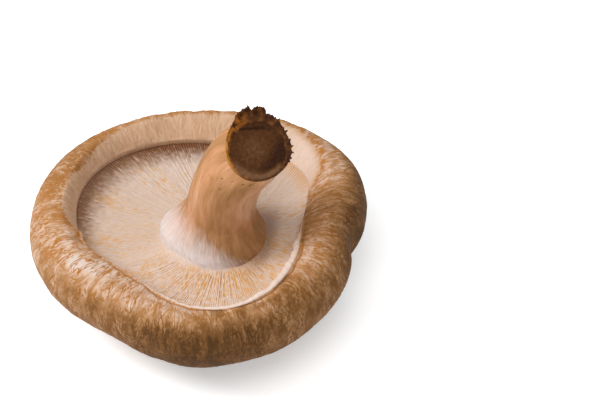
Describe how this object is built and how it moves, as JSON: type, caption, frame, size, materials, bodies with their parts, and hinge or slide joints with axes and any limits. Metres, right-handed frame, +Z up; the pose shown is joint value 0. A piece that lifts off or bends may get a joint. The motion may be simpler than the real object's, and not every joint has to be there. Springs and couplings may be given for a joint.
{
  "type": "shiitake mushroom",
  "caption": "Whole shiitake mushroom lying cap down, with an inrolled rim, fine gills and a leaning stem with a torn, dried cut end.",
  "frame": {"origin": "centre of the flat rest face on the crown of the cap", "axes": "+Z up, out of the rest face towards the gills and the stem; +X the way the stem leans; -Y towards the side that the cut end faces"},
  "size_m": [0.0732, 0.0691, 0.0513],
  "materials": {
    "cap_skin": "dry, matte, mottled brown to tan cap skin with pale streaks and fine radial cracks",
    "gills": "matte cream-pink gills with tan gaps",
    "stem_flesh": "matte fibrous stem, white and cottony at its foot, peach to tan above",
    "cut_end": "dried dark brown cut face with a ragged edge"
  },
  "bodies": {
    "root": {"shiitake_mushroom": "cap_skin"}
  },
  "joints": []
}
